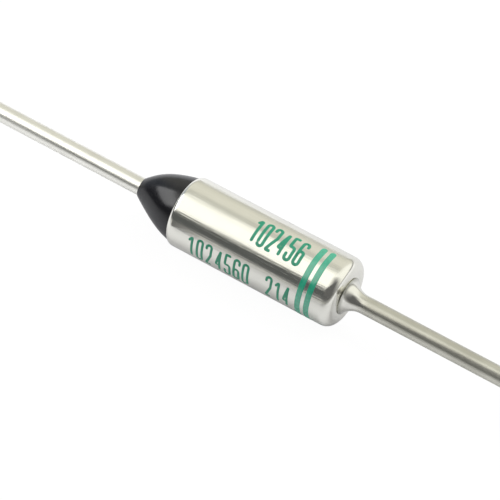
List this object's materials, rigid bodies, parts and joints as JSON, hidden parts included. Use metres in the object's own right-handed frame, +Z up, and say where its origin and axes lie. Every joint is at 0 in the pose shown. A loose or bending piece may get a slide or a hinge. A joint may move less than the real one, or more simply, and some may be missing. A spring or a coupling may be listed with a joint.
{
  "type": "thermal fuse",
  "caption": "Axial thermal fuse: plated metal case with rolled mouth, black resin cone, flared riveted lead and straight wire leads; opens its circuit once when a pellet melts.",
  "frame": {"origin": "on the axis of the case, halfway along the case and halfway between the cut ends of the leads", "axes": "+X along the case towards the case lead and its cut end, -X towards the resin cone and the isolated lead, +Z up"},
  "size_m": [0.0764, 0.004, 0.004],
  "materials": {
    "plated_case": "bright plated brass",
    "tinned_wire": "drawn copper wire, tinned",
    "ceramic": "fired alumina",
    "resin": "cast epoxy resin, glossy",
    "spring_wire": "hard-drawn spring wire",
    "contact_sheet": "silver-plated sheet",
    "disk_steel": "stamped steel",
    "pellet_compound": "pressed powder"
  },
  "bodies": {
    "root": {"case": "plated_case", "case_lead": "tinned_wire", "isolated_lead": "tinned_wire", "bushing": "ceramic", "resin_seal": "resin", "trip_spring": "spring_wire", "star_contact": "contact_sheet", "contact_disk": "disk_steel", "barrel_spring": "spring_wire", "pellet_disk": "disk_steel", "pellet": "pellet_compound"}
  },
  "joints": []
}
